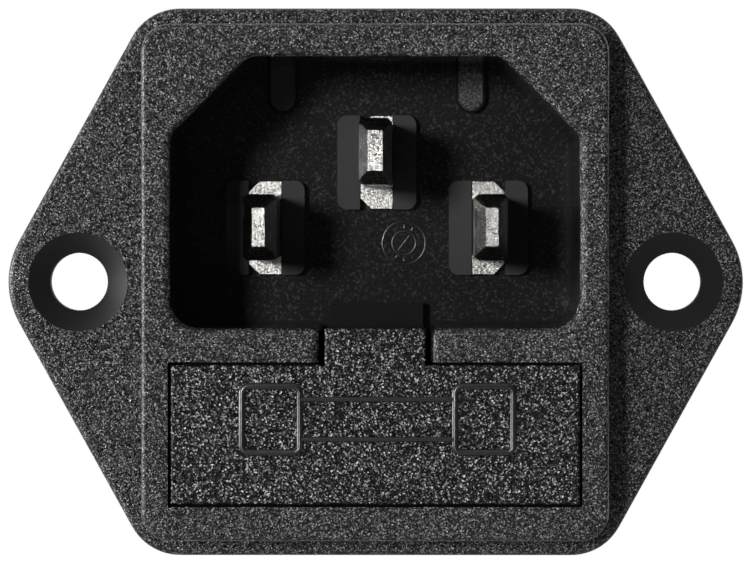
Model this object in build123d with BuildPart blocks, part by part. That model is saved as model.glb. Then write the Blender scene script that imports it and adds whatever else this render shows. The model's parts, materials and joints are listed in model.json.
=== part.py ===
from build123d import *
from math import cos, radians, sin, sqrt, tan
import os

# Mains inlet with a fuse drawer in its face and a filter in a metal can behind it.
# Sizes are in millimetres. Seen from the front, X runs right, Z runs up and Y runs into the panel.
# The origin lies midway between the screw holes, on the rear face of the flange.

# Flange: a hexagon with its long diagonal along X
screw_pitch = 36.0
screw_hole_d = 3.5
countersink_d = 6.0
countersink_angle = 90.0
flange_end = 4.21
flange_lip = 1.12
flange_t = 2.6
flange_side_angle = 61.0
flange_tip_r = 5.1
flange_corner_r = 3.3
flange_edge_r = 0.35

# Raised block on the flange
block_lip_x = 0.43
block_lip_z = 0.96
block_d = 4.5
block_corner_r = 1.7
block_edge_r = 0.3

# Body behind the flange, closed by the can
side_wall = 1.3
top_wall = 1.0
floor_t = 2.1
body_corner_r = 1.2
nose_w = 6.0
nose_l = 2.6
nose_h = 0.42
nose_in = 4.7

# Socket cavity
cavity_w = 24.4
cavity_h = 16.15
cavity_top = 13.45
cavity_d = 17.0
cavity_chamfer = 4.7
cavity_chamfer_r = 1.0
cavity_corner_r = 1.75
cavity_edge_r = 0.5

# Pins: flat blades with a shoulder that sits in a slotted boss on the cavity floor
pin_t = 2.0
pin_w = 4.0
pin_edge = 0.25
pin_spacing = 14.0
pin_row_drop = 2.075
earth_rise = 4.57
earth_boss_drop = 0.47
pin_setback = 1.7
earth_setback = 0.7
pin_taper = 2.3
pin_tip_t = 0.75
pin_tip_w = 2.3
earth_tip_t = 0.9
earth_tip_w = 2.42
tip_edge = 0.05
shoulder_w = 5.8
shoulder_chamfer = 0.65
shoulder_set = 0.1
pin_tail_w = 1.2
pin_fit = 0.05
boss_w = 4.95
boss_h = 5.9
boss_d = 1.0
boss_corner_r = 0.6

# Two round-ended pads on the cavity floor under its top wall
pad_w = 1.85
pad_inset = 1.6
pad_l = 2.95
pad_d = 1.0
pad_edge = 0.2

# Fuses, 5 x 20 glass cartridges lying along X
fuse_l = 20.0
fuse_cap_d = 5.2
fuse_cap_l = 5.5
fuse_cap_t = 0.25
fuse_glass_d = 4.6
fuse_glass_t = 0.4
fuse_wire_d = 0.2

# Drawer front and the bay behind it
bridge_h = 2.05
recess_lip_x = 0.85
recess_lip_top = 0.65
recess_lip_bottom = 0.58
recess_d = 2.25
bay_above = 1.1
bay_below = 1.1
bay_side_wall = 2.0
bay_bottom_wall = 1.65
bay_behind = 2.0
bay_rear_wall = 1.8
drawer_gap = 0.18
drawer_seat = 0.05
drawer_edge_r = 0.15
slide_gap = 0.15
fuse_end_gap = 0.2
rail_t = 1.15
rail_below = 0.8
guide_w = 0.8
guide_h = 0.25
guide_start = 1.9
guide_end_gap = 2.2
tab_w = 6.0
slot_side_gap = 0.33
slot_corner_r = 0.4
tab_rise = 0.05
tongue_inset = 0.1
tongue_drop = 0.1
tongue_start = 3.4
tongue_floor_gap = 0.6
tongue_bay_gap = 0.9
hook_t = 1.0
hook_rise = 1.3
ceiling_t = 0.75
divider_t = 1.0
spare_front_gap = 0.6
spare_rear_gap = 0.3
working_front_gap = 0.4
cradle_side_gap = 0.1
cradle_gap = 0.1
cradle_wall = 0.6
cradle_below = 1.3

# Spring clips that take the working fuse's caps
clip_t = 0.5
clip_w = 4.0
clip_in = 2.4
clip_gap = 0.05
clip_ahead = 2.1
clip_flare = 0.4
clip_flare_l = 0.7
clip_tail_w = 1.0

# Can
can_gap = 0.1
can_t = 0.4
can_start = 0.3
can_rear_r = 1.2
can_inner_chamfer = 0.6
window_gap = 0.25

# Insulating sleeve inside the can
sleeve_gap = 0.1
sleeve_t = 0.25
sleeve_start = 0.2
sleeve_end_gap = 2.0

# Circuit board and its posts
board_gap = 0.35
board_t = 1.6
board_corner_r = 0.8
post_l = 2.0
post_w = 2.0
post_in_x = 1.5
post_in_z = 1.45
tail_out = 0.6
slot_gap = 0.15
lead_d = 0.6
lead_sides = 8
lead_out = 0.4
hole_gap = 0.1

# Current-compensated choke, a ring on edge with two windings
core_od = 14.0
core_bore_d = 8.0
core_t = 6.0
core_gap = 0.05
choke_offset = 0.2
choke_lift = 1.4
wire_d = 0.9
winding_t = 0.55
winding_arc = 138.0
turns = 9
turn_share = 0.62
lead_a_z = 4.2
lead_a_sink = 0.65
lead_b_z = 5.2
holder_inset = 0.6
holder_end = 0.5
holder_rise = 3.0
holder_gap = 0.15
holder_window_gap = 0.3
divider_web_t = 1.0
divider_gap = 0.1
space_behind_choke = 4.7

# Capacitors and the bleed resistor
x_cap_t = 7.5
x_cap_l = 18.0
x_cap_h = 13.4
x_cap_edge_gap = 0.9
x_cap_lead_in = 1.5
x_cap_lift = 1.0
x_cap_foot = 1.6
x_cap_r = 0.7
y_cap_d = 8.0
y_cap_t = 3.5
y_cap_edge = 1.0
y_cap_side_gap = 1.15
y_cap_apart = 4.0
y_cap_lift = 2.4
y_cap_pitch = 5.0
resistor_d = 2.4
resistor_l = 6.3
resistor_waist_d = 2.0
resistor_end_l = 1.4
resistor_lead_gap = 0.85
resistor_side_gap = 2.9
resistor_top_gap = 2.25
resistor_lift = 0.2

# Terminal plate in the rear of the can, with its two tabs
plate_side = 4.0
plate_rim = 2.35
plate_t = 1.5
plate_corner_r = 1.0
plate_z = -5.0
plate_step = 1.1
plate_gap = 0.1
plate_out = 0.6
tab_blade_w = 6.3
tab_t = 0.8
tab_out = 8.4
tab_x = 7.0
tab_point = 0.9
tab_hole_d = 1.7
tab_hole_in = 3.4
tab_jog = 1.8
tab_inner_l = 2.3
leg_w = 2.0
leg_tail_w = 1.0
leg_edge_gap = 1.85

# Earth tab, its rivet and the strap to the board
earth_tab_z = 10.0
earth_foot_h = 6.6
earth_bend_r = 0.9
rivet_below = 3.5
rivet_d = 3.0
rivet_head_d = 5.0
rivet_head_t = 1.1
rivet_top_d = 3.2
rivet_rim_t = 0.4
rivet_tail_t = 0.6
rivet_gap = 0.05
strap_t = 0.4
strap_w = 4.0
strap_edge_gap = 0.85
strap_bend_r = 0.8
strap_end_below = 2.5
strap_tail_w = 1.5

# Heights and widths worked out from the sizes above
cavity_bottom = cavity_top - cavity_h
cavity_z = cavity_top - cavity_h / 2
pin_x = pin_spacing / 2
pin_row_z = cavity_z - pin_row_drop
earth_pin_z = pin_row_z + earth_rise
earth_boss_z = earth_pin_z - earth_boss_drop
pad_end_z = cavity_top - pad_l
pad_x = cavity_w / 2 - cavity_chamfer - pad_inset
rail_inner_x = fuse_l / 2 + fuse_end_gap
rail_outer_x = rail_inner_x + rail_t
bay_w = 2 * (rail_outer_x + slide_gap)
recess_w = bay_w + 2 * recess_lip_x
recess_top = cavity_bottom - bridge_h
bay_top = recess_top - recess_lip_top
bay_h = bay_above + fuse_cap_d + bay_below
bay_bottom = bay_top - bay_h
bay_z = bay_top - bay_h / 2
recess_bottom = bay_bottom - recess_lip_bottom
recess_h = recess_top - recess_bottom
recess_z = (recess_top + recess_bottom) / 2
cap_r = fuse_cap_d / 2
fuse_z = bay_bottom + bay_below + cap_r
clip_x = fuse_l / 2 - clip_in
clip_arm_z = cap_r + clip_gap
cradle_w = fuse_l - 2 * (fuse_cap_l + cradle_side_gap)
slot_w = tab_w + 2 * slot_side_gap
tongue_w = tab_w - 2 * tongue_inset
body_w = 2 * max(cavity_w / 2 + side_wall, bay_w / 2 + bay_side_wall)
body_h = 2 * max(cavity_top + top_wall, bay_bottom_wall - bay_bottom)
block_w = body_w + 2 * block_lip_x
block_h = body_h + 2 * block_lip_z
flange_w = screw_pitch + 2 * flange_end
flange_h = block_h + 2 * flange_lip

# Depths
face_y = -(flange_t + block_d)
floor_y = face_y + cavity_d
boss_y = floor_y - boss_d
recess_floor_y = face_y + recess_d
drawer_back_y = recess_floor_y - drawer_seat
spare_fuse_y = drawer_back_y + spare_front_gap + cap_r
divider_y = spare_fuse_y + cap_r + spare_rear_gap
working_fuse_y = divider_y + divider_t + working_front_gap + cap_r
cradle_end = working_fuse_y + fuse_glass_d / 2 + cradle_gap + cradle_wall
clip_mouth_y = working_fuse_y - clip_ahead
rail_l = cradle_end - drawer_back_y
guide_l = rail_l - guide_start - guide_end_gap
bay_back_y = cradle_end + bay_behind
tongue_end_y = min(floor_y - tongue_floor_gap, bay_back_y - tongue_bay_gap)
body_back_y = max(floor_y + floor_t, bay_back_y + bay_rear_wall)
nose_y = can_start + nose_in
board_y = body_back_y + post_l
board_back_y = board_y + board_t
tail_end_y = board_back_y + tail_out
lead_end_y = board_y - lead_out
winding_r = core_od / 2 + core_gap + wire_d
choke_y = board_back_y + choke_lift + winding_r
can_inside_y = choke_y + winding_r + space_behind_choke
can_back_y = can_inside_y + can_t
can_l = can_back_y - can_start
tab_end_y = can_back_y + tab_out

# Can, sleeve and board
can_w = body_w + 2 * (can_gap + can_t)
can_h = body_h + 2 * (can_gap + can_t)
can_corner_r = body_corner_r + can_gap + can_t
sleeve_w = body_w + 2 * can_gap - 2 * sleeve_gap
sleeve_h = body_h + 2 * can_gap - 2 * sleeve_gap
sleeve_l = can_inside_y - sleeve_end_gap - body_back_y - sleeve_start
board_w = sleeve_w - 2 * sleeve_t - 2 * board_gap
board_h = sleeve_h - 2 * sleeve_t - 2 * board_gap

# Places of the parts on the board
post_x = board_w / 2 - post_in_x
post_z = board_h / 2 - post_in_z
choke_x = -pin_x - choke_offset
x_cap_x = board_w / 2 - x_cap_edge_gap - x_cap_t / 2
x_cap_y = board_back_y + x_cap_lift
x_cap_pitch = x_cap_l - 2 * x_cap_lead_in
y_cap_x = x_cap_x - x_cap_t / 2 - y_cap_side_gap - y_cap_t / 2
y_cap_y = board_back_y + y_cap_lift + y_cap_d / 2
y_cap_z = (y_cap_apart + y_cap_d) / 2
resistor_pitch = resistor_l + 2 * resistor_lead_gap
resistor_x = resistor_side_gap + resistor_pitch / 2 - board_w / 2
resistor_y = board_back_y + resistor_lift + resistor_d / 2
resistor_z = board_h / 2 - resistor_top_gap
leg_z = leg_edge_gap - board_h / 2
plate_w = 2 * (tab_x + plate_side)
plate_h = tab_blade_w + 2 * plate_rim
strap_z = board_h / 2 - strap_edge_gap
rivet_z = earth_tab_z - rivet_below


def upright(y):
    """Sketch plane at depth y facing the front: sketch x is X, sketch y is Z."""
    return Plane.XZ.offset(-y)


def side_on(x):
    """Sketch plane at x seen from the right: sketch x is Y, sketch y is Z."""
    return Plane.YZ.offset(x)


# Inlet housing
tip_x = flange_w / 2 + flange_tip_r * (1 / sin(radians(flange_side_angle)) - 1)
shoulder_x = tip_x - flange_h / 2 / tan(radians(flange_side_angle))
groove_h = guide_h + slide_gap
groove_w = guide_w + 2 * slide_gap

with BuildPart() as inlet_housing:
    # Flange with its eased front edge
    with BuildSketch(upright(0)):
        with BuildLine():
            Polyline(
                (tip_x, 0),
                (shoulder_x, flange_h / 2),
                (-shoulder_x, flange_h / 2),
                (-tip_x, 0),
                (-shoulder_x, -flange_h / 2),
                (shoulder_x, -flange_h / 2),
                close=True,
            )
        make_face()
        corners = vertices().sort_by(Axis.X)
        fillet([corners[0], corners[-1]], flange_tip_r)
        fillet(corners[1:-1], flange_corner_r)
    extrude(amount=flange_t)
    fillet(faces().sort_by(Axis.Y)[0].edges(), flange_edge_r)

    # Raised block
    with BuildSketch(upright(-flange_t)):
        RectangleRounded(block_w, block_h, block_corner_r)
    extrude(amount=block_d)
    fillet(faces().sort_by(Axis.Y)[0].edges(), block_edge_r)

    # Body behind the flange
    with BuildSketch(upright(0)):
        RectangleRounded(body_w, body_h, body_corner_r)
    extrude(amount=-body_back_y)

    # Socket cavity and the slot that joins it to the drawer bay
    with BuildSketch(upright(face_y)) as cavity_outline:
        with Locations((0, cavity_z)):
            Rectangle(cavity_w, cavity_h)
        chamfer(vertices().group_by(Axis.Y)[-1], cavity_chamfer)
        fillet(vertices().group_by(Axis.Y)[1:], cavity_chamfer_r)
        fillet(vertices().group_by(Axis.Y)[0], cavity_corner_r)
        with Locations((0, (cavity_bottom + bay_top) / 2)):
            Rectangle(slot_w, cavity_bottom - bay_top)
        slot_corners = [
            v for v in vertices() if abs(v.Y - cavity_bottom) < 0.01 and abs(v.X) < slot_w
        ]
        fillet(slot_corners, slot_corner_r)
    extrude(amount=-cavity_d, mode=Mode.SUBTRACT)
    rim = [
        e
        for e in edges().filter_by_position(Axis.Y, face_y - 0.01, face_y + 0.01)
        if abs(e.center().X) < cavity_w / 2 + 0.01
        and bay_top + 0.01 < e.center().Z < cavity_top + 0.01
    ]
    fillet(rim, cavity_edge_r)

    # Recess for the drawer's face plate, and the bay behind it
    with BuildSketch(upright(face_y)):
        with Locations((0, recess_z)):
            Rectangle(recess_w, recess_h)
    extrude(amount=-recess_d, mode=Mode.SUBTRACT)
    with BuildSketch(upright(recess_floor_y)):
        with Locations((0, bay_z)):
            Rectangle(bay_w, bay_h)
    extrude(amount=-(bay_back_y - recess_floor_y), mode=Mode.SUBTRACT)
    with BuildSketch(upright(recess_floor_y)):
        with Locations((0, fuse_z)):
            Rectangle(bay_w + 2 * groove_h, groove_w)
    groove_l = guide_start + guide_l + slide_gap
    extrude(amount=-groove_l, mode=Mode.SUBTRACT)

    # Pin bosses and round-ended pads on the cavity floor
    with BuildSketch(upright(floor_y)):
        with Locations((-pin_x, pin_row_z), (pin_x, pin_row_z), (0, earth_boss_z)):
            RectangleRounded(boss_w, boss_h, boss_corner_r)
            Rectangle(pin_t + 2 * pin_fit, boss_h, mode=Mode.SUBTRACT)
    extrude(amount=boss_d)
    with BuildSketch(upright(floor_y)):
        for x in (-pad_x, pad_x):
            with Locations((x, pad_end_z + pad_w / 2)):
                Circle(pad_w / 2)
            with Locations((x, (cavity_top + pad_end_z + pad_w / 2) / 2)):
                Rectangle(pad_w, cavity_top - pad_end_z - pad_w / 2)
    extrude(amount=pad_d)
    pad_front = floor_y - pad_d
    pad_edges = [
        e
        for e in edges().filter_by_position(Axis.Y, pad_front - 0.01, pad_front + 0.01)
        if pad_end_z - 0.01 < e.center().Z < cavity_top - 0.01
        and abs(abs(e.center().X) - pad_x) < pad_w
    ]
    chamfer(pad_edges, pad_edge)

    # Openings in the rear wall for the pins and for the tails of the fuse clips
    with BuildSketch(upright(floor_y)):
        with Locations((-pin_x, pin_row_z), (pin_x, pin_row_z), (0, earth_pin_z)):
            Rectangle(pin_t + 2 * pin_fit, pin_w + 2 * pin_fit)
    extrude(amount=floor_y - body_back_y, mode=Mode.SUBTRACT)
    with BuildSketch(upright(bay_back_y)):
        with Locations((-clip_x, fuse_z), (clip_x, fuse_z)):
            Rectangle(clip_tail_w + 2 * slot_gap, clip_t + 2 * slot_gap)
    extrude(amount=bay_back_y - body_back_y, mode=Mode.SUBTRACT)

    # Posts for the circuit board
    with BuildSketch(upright(body_back_y)):
        with GridLocations(2 * post_x, 2 * post_z, 2, 2):
            Rectangle(post_w, post_w)
    extrude(amount=-post_l)

    # Snap noses on both sides, for the windows in the can
    for side in (-1, 1):
        with BuildSketch(Plane.XY.offset(-nose_w / 2)):
            with BuildLine():
                Polyline(
                    (side * (body_w / 2 - nose_h), nose_y),
                    (side * body_w / 2, nose_y),
                    (side * (body_w / 2 + nose_h), nose_y),
                    (side * body_w / 2, nose_y + nose_l),
                    (side * (body_w / 2 - nose_h), nose_y + nose_l),
                    close=True,
                )
            make_face()
        extrude(amount=nose_w)

    # Countersunk screw holes
    with Locations(upright(-flange_t)):
        with Locations((-screw_pitch / 2, 0), (screw_pitch / 2, 0)):
            CounterSinkHole(
                screw_hole_d / 2, countersink_d / 2, flange_t, countersink_angle
            )


# Pins
def blade_pin(x, z, boss_z, setback, tip_t, tip_w, outer_side):
    """Flat pin with a pyramid tip, a shoulder in its boss slot and a tail through the board."""
    tip_y = face_y + setback
    taper_y = tip_y + pin_taper
    with BuildPart() as pin:
        with BuildSketch(upright(taper_y)):
            with Locations((x, z)):
                Rectangle(pin_t, pin_w)
            chamfer(vertices(), pin_edge)
        extrude(amount=-(body_back_y - taper_y))
        with BuildSketch(upright(taper_y)):
            with Locations((x, z)):
                Rectangle(pin_t, pin_w)
            chamfer(vertices(), pin_edge)
        with BuildSketch(upright(tip_y)):
            with Locations((x, z)):
                Rectangle(tip_t, tip_w)
            chamfer(vertices(), tip_edge)
        loft()
        with BuildSketch(upright(boss_y + shoulder_set)):
            with Locations((x, boss_z)):
                Rectangle(pin_t, shoulder_w)
            chamfer(vertices().sort_by(Axis.X, reverse=outer_side > 0)[:2], shoulder_chamfer)
        extrude(amount=-(boss_d - shoulder_set))
        with BuildSketch(upright(body_back_y)):
            with Locations((x, z)):
                Rectangle(pin_t, pin_tail_w)
        extrude(amount=-(tail_end_y - body_back_y))
    return pin


line_pin = blade_pin(-pin_x, pin_row_z, pin_row_z, pin_setback, pin_tip_t, pin_tip_w, -1)
neutral_pin = blade_pin(pin_x, pin_row_z, pin_row_z, pin_setback, pin_tip_t, pin_tip_w, 1)
earth_pin = blade_pin(0, earth_pin_z, earth_boss_z, earth_setback, earth_tip_t, earth_tip_w, -1)

# Fuse drawer
plate_top = recess_top - drawer_gap
plate_bottom = recess_bottom + drawer_gap
face_w = recess_w - 2 * drawer_gap
tongue_top = cavity_bottom - tongue_drop
ceiling_top = bay_top - slide_gap
ceiling_bottom = ceiling_top - ceiling_t
rail_h = ceiling_top - bay_bottom - rail_below
cradle_floor = fuse_z - cradle_below

with BuildPart() as fuse_drawer:
    # Face plate with the tab that reaches up to the cavity's edge
    with BuildSketch(upright(drawer_back_y)):
        with Locations((0, (plate_top + plate_bottom) / 2)):
            Rectangle(face_w, plate_top - plate_bottom)
        with Locations((0, (cavity_bottom - tab_rise + plate_top) / 2)):
            Rectangle(tab_w, cavity_bottom - tab_rise - plate_top)
    extrude(amount=drawer_back_y - face_y)
    fillet(faces().sort_by(Axis.Y)[0].edges(), drawer_edge_r)

    # Ceiling, full width over the spare fuse and narrow between the clips
    with BuildSketch(Plane.XY.offset(ceiling_bottom)):
        with Locations((0, (drawer_back_y + divider_y + divider_t) / 2)):
            Rectangle(2 * rail_outer_x, divider_y + divider_t - drawer_back_y)
        with Locations((0, (divider_y + cradle_end) / 2)):
            Rectangle(cradle_w, cradle_end - divider_y)
    extrude(amount=ceiling_t)

    # Tongue in the slot, with the hook that stands in the way of a mated connector
    with BuildSketch(side_on(-tongue_w / 2)):
        with BuildLine():
            Polyline(
                (drawer_back_y + tongue_start, ceiling_top),
                (drawer_back_y + tongue_start, tongue_top),
                (tongue_end_y - hook_t, tongue_top),
                (tongue_end_y - hook_t, cavity_bottom + hook_rise),
                (tongue_end_y, cavity_bottom + hook_rise),
                (tongue_end_y, ceiling_top),
                close=True,
            )
        make_face()
    extrude(amount=tongue_w)

    # Side rails with their guide ribs, and the divider between the fuses
    with BuildSketch(upright(drawer_back_y)):
        for side in (-1, 1):
            with Locations((side * (rail_inner_x + rail_t / 2), ceiling_top - rail_h / 2)):
                Rectangle(rail_t, rail_h)
    extrude(amount=-rail_l)
    with BuildSketch(upright(drawer_back_y + guide_start)):
        for side in (-1, 1):
            with Locations((side * (rail_outer_x + (guide_h - rail_t / 2) / 2), fuse_z)):
                Rectangle(guide_h + rail_t / 2, guide_w)
    extrude(amount=-guide_l)
    with BuildSketch(upright(divider_y)):
        with Locations((0, ceiling_top - rail_h / 2)):
            Rectangle(2 * rail_outer_x, rail_h)
    extrude(amount=-divider_t)

    # Cradles that snap round the glass of both fuses
    with BuildSketch(side_on(-cradle_w / 2)):
        with Locations(((drawer_back_y + divider_y) / 2, (ceiling_bottom + cradle_floor) / 2)):
            Rectangle(divider_y - drawer_back_y, ceiling_bottom - cradle_floor)
        with Locations(((divider_y + cradle_end) / 2, (ceiling_bottom + cradle_floor) / 2)):
            Rectangle(cradle_end - divider_y, ceiling_bottom - cradle_floor)
    extrude(amount=cradle_w)
    with BuildSketch(side_on(-cradle_w / 2)):
        with Locations((spare_fuse_y, fuse_z), (working_fuse_y, fuse_z)):
            Circle(fuse_glass_d / 2 + cradle_gap)
    extrude(amount=cradle_w, mode=Mode.SUBTRACT)


# Fuses
def fuse_glass(y):
    """Glass tube of a fuse whose axis lies along X at depth y."""
    with BuildPart() as tube:
        tube_l = fuse_l - 2 * fuse_cap_t
        with BuildSketch(side_on(-tube_l / 2)):
            with Locations((y, fuse_z)):
                Circle(fuse_glass_d / 2)
                Circle(fuse_glass_d / 2 - fuse_glass_t, mode=Mode.SUBTRACT)
        extrude(amount=tube_l)
    return tube


def fuse_caps(y):
    """Both end caps of a fuse, drawn cups that slip over the glass."""
    with BuildPart() as caps:
        for side in (-1, 1):
            with BuildSketch(side_on(side * fuse_l / 2)):
                with Locations((y, fuse_z)):
                    Circle(cap_r)
            extrude(amount=-side * fuse_cap_l)
            with BuildSketch(side_on(side * (fuse_l / 2 - fuse_cap_t))):
                with Locations((y, fuse_z)):
                    Circle(cap_r - fuse_cap_t)
            extrude(amount=-side * fuse_cap_l, mode=Mode.SUBTRACT)
    return caps


def fuse_wire(y):
    """Fuse wire stretched between the caps."""
    with BuildPart() as wire:
        wire_l = fuse_l - 2 * fuse_cap_t
        with BuildSketch(side_on(-wire_l / 2)):
            with Locations((y, fuse_z)):
                Circle(fuse_wire_d / 2)
        extrude(amount=wire_l)
    return wire


working_fuse_glass = fuse_glass(working_fuse_y)
working_fuse_caps = fuse_caps(working_fuse_y)
working_fuse_wire = fuse_wire(working_fuse_y)
spare_fuse_glass = fuse_glass(spare_fuse_y)
spare_fuse_caps = fuse_caps(spare_fuse_y)
spare_fuse_wire = fuse_wire(spare_fuse_y)


# Fuse clips
def fuse_clip(side):
    """U-shaped spring clip open to the front, with a tail through the rear wall to the board."""
    with BuildPart() as clip:
        with BuildSketch(side_on(side * clip_x - clip_w / 2)):
            with BuildLine() as strip:
                FilletPolyline(
                    (clip_mouth_y - clip_flare_l, fuse_z + clip_arm_z + clip_t / 2 + clip_flare),
                    (clip_mouth_y, fuse_z + clip_arm_z + clip_t / 2),
                    (bay_back_y - clip_t / 2, fuse_z + clip_arm_z + clip_t / 2),
                    (bay_back_y - clip_t / 2, fuse_z - clip_arm_z - clip_t / 2),
                    (clip_mouth_y, fuse_z - clip_arm_z - clip_t / 2),
                    (clip_mouth_y - clip_flare_l, fuse_z - clip_arm_z - clip_t / 2 - clip_flare),
                    radius=clip_t,
                )
            trace(line_width=clip_t)
        extrude(amount=clip_w)
        with BuildSketch(upright(bay_back_y - clip_t / 2)):
            with Locations((side * clip_x, fuse_z)):
                Rectangle(clip_tail_w, clip_t)
        extrude(amount=-(tail_end_y - bay_back_y + clip_t / 2))
    return clip


fuse_clip_left = fuse_clip(-1)
fuse_clip_right = fuse_clip(1)

# Can
plate_hole_w = plate_w - 2 * plate_step
plate_hole_h = plate_h - 2 * plate_step

with BuildPart() as filter_can:
    with BuildSketch(upright(can_start)):
        RectangleRounded(can_w, can_h, can_corner_r)
    extrude(amount=-can_l)
    fillet(faces().sort_by(Axis.Y)[-1].edges(), can_rear_r)
    with BuildSketch(upright(can_start)):
        RectangleRounded(can_w - 2 * can_t, can_h - 2 * can_t, can_corner_r - can_t)
    extrude(amount=can_start - can_inside_y, mode=Mode.SUBTRACT)
    chamfer(faces().filter_by(Plane.XZ).sort_by(Axis.Y)[-2].edges(), can_inner_chamfer)
    # Windows for the snap noses
    with BuildSketch(side_on(-can_w / 2)):
        with Locations((nose_y + nose_l / 2, 0)):
            Rectangle(nose_l + 2 * window_gap, nose_w + 2 * window_gap)
    extrude(amount=can_w, mode=Mode.SUBTRACT)
    # Openings for the terminal plate and the rivet
    with BuildSketch(upright(can_back_y)):
        with Locations((0, plate_z)):
            RectangleRounded(plate_hole_w, plate_hole_h, plate_corner_r)
        with Locations((0, rivet_z)):
            Circle(rivet_d / 2 + rivet_gap)
    extrude(amount=2 * can_t, mode=Mode.SUBTRACT)

# Insulating sleeve
with BuildPart() as insulating_sleeve:
    with BuildSketch(upright(body_back_y + sleeve_start)):
        RectangleRounded(sleeve_w, sleeve_h, body_corner_r)
        RectangleRounded(
            sleeve_w - 2 * sleeve_t,
            sleeve_h - 2 * sleeve_t,
            body_corner_r - sleeve_t,
            mode=Mode.SUBTRACT,
        )
    extrude(amount=-sleeve_l)

# Circuit board
resistor_leads = [resistor_x - resistor_pitch / 2, resistor_x + resistor_pitch / 2]
lead_a_x = choke_x + core_t / 2 + core_gap
lead_b_x = choke_x - core_t / 2 - winding_t
y_cap_leads = [
    (y_cap_x, side * y_cap_z + end * y_cap_pitch / 2) for side in (-1, 1) for end in (-1, 1)
]
choke_leads = [(lead_a_x, s * lead_a_z) for s in (-1, 1)] + [
    (lead_b_x, s * lead_b_z) for s in (-1, 1)
]

with BuildPart() as circuit_board:
    with BuildSketch(upright(board_y)):
        RectangleRounded(board_w, board_h, board_corner_r)
        with Locations((-pin_x, pin_row_z), (pin_x, pin_row_z), (0, earth_pin_z)):
            Rectangle(pin_t + 2 * slot_gap, pin_tail_w + 2 * slot_gap, mode=Mode.SUBTRACT)
        with Locations((-clip_x, fuse_z), (clip_x, fuse_z)):
            Rectangle(clip_tail_w + 2 * slot_gap, clip_t + 2 * slot_gap, mode=Mode.SUBTRACT)
        with Locations((-tab_x, leg_z), (tab_x, leg_z)):
            Rectangle(tab_t + 2 * slot_gap, leg_tail_w + 2 * slot_gap, mode=Mode.SUBTRACT)
        with Locations((0, strap_z)):
            Rectangle(strap_tail_w + 2 * slot_gap, strap_t + 2 * slot_gap, mode=Mode.SUBTRACT)
        with Locations([(x, resistor_z) for x in resistor_leads]):
            RegularPolygon(lead_d / 2 + hole_gap, lead_sides, mode=Mode.SUBTRACT)
        with Locations([(x_cap_x, s * x_cap_pitch / 2) for s in (-1, 1)]):
            RegularPolygon(lead_d / 2 + hole_gap, lead_sides, mode=Mode.SUBTRACT)
        with Locations(y_cap_leads):
            RegularPolygon(lead_d / 2 + hole_gap, lead_sides, mode=Mode.SUBTRACT)
        with Locations(choke_leads):
            RegularPolygon(wire_d / 2 + hole_gap, lead_sides, mode=Mode.SUBTRACT)
    extrude(amount=-board_t)

# Choke core
with BuildPart() as choke_core:
    with BuildSketch(side_on(choke_x - core_t / 2)):
        with Locations((choke_y, 0)):
            Circle(core_od / 2)
            Circle(core_bore_d / 2, mode=Mode.SUBTRACT)
    extrude(amount=core_t)


# Choke windings
def winding_sketch_plane(angle):
    """Plane through the ring's axis at an angle from the rear: sketch x is X, sketch y is outward."""
    turn = radians(angle)
    return Plane(origin=(choke_x, choke_y, 0), x_dir=(1, 0, 0), z_dir=(0, -sin(turn), cos(turn)))


def choke_winding(side):
    """One winding over its half of the ring, a close layer of turns with two leads to the board."""
    ring_axis = Axis((choke_x, choke_y, 0), (1, 0, 0))
    ring_mid = (core_od + core_bore_d) / 4
    ring_h = (core_od - core_bore_d) / 2
    start = side * 90 - winding_arc / 2
    step = winding_arc / turns
    rounds = [(start, winding_arc, winding_t)]
    inset = step * (1 - turn_share) / 2
    rounds += [(start + inset + i * step, step * turn_share, wire_d) for i in range(turns)]
    with BuildPart() as winding:
        for angle, arc, thick in rounds:
            with BuildSketch(winding_sketch_plane(angle)):
                with Locations((0, ring_mid)):
                    Rectangle(core_t + 2 * (core_gap + thick), ring_h + 2 * (core_gap + thick))
                    Rectangle(core_t + 2 * core_gap, ring_h + 2 * core_gap, mode=Mode.SUBTRACT)
            revolve(axis=ring_axis, revolution_arc=arc)
        with BuildSketch(upright(lead_end_y)):
            with Locations((lead_a_x, side * lead_a_z)):
                RegularPolygon(wire_d / 2, lead_sides)
        extrude(amount=-(choke_y - sqrt(winding_r**2 - lead_a_z**2) + lead_a_sink - lead_end_y))
        with BuildSketch(upright(lead_end_y)):
            with Locations((lead_b_x, side * lead_b_z)):
                RegularPolygon(wire_d / 2, lead_sides)
        extrude(amount=-(choke_y + core_bore_d / 2 - lead_end_y))
    return winding


choke_winding_line = choke_winding(-1)
choke_winding_neutral = choke_winding(1)

# Choke holder, a saddle on the board with a window for the line pin's tail
holder_w = core_t - 2 * holder_inset
holder_h = core_od - 2 * holder_end
holder_horn = choke_lift + holder_rise
with BuildPart() as choke_holder:
    with BuildSketch(side_on(choke_x - holder_w / 2)):
        with Locations((board_back_y + holder_horn / 2, 0)):
            Rectangle(holder_horn, holder_h)
        with Locations((choke_y, 0)):
            Circle(winding_r + holder_gap, mode=Mode.SUBTRACT)
    extrude(amount=holder_w)
    with BuildSketch(upright(board_back_y)):
        with Locations((-pin_x, pin_row_z)):
            Rectangle(pin_t + 2 * holder_window_gap, pin_tail_w + 2 * holder_window_gap)
    extrude(amount=-holder_horn, mode=Mode.SUBTRACT)

# Choke divider, the web that keeps the windings apart
with BuildPart() as choke_divider:
    with BuildSketch(upright(choke_y - core_bore_d / 2 + divider_gap)):
        with Locations((choke_x, 0)):
            Rectangle(core_t, divider_web_t)
    extrude(amount=-(core_bore_d - 2 * divider_gap))

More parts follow.
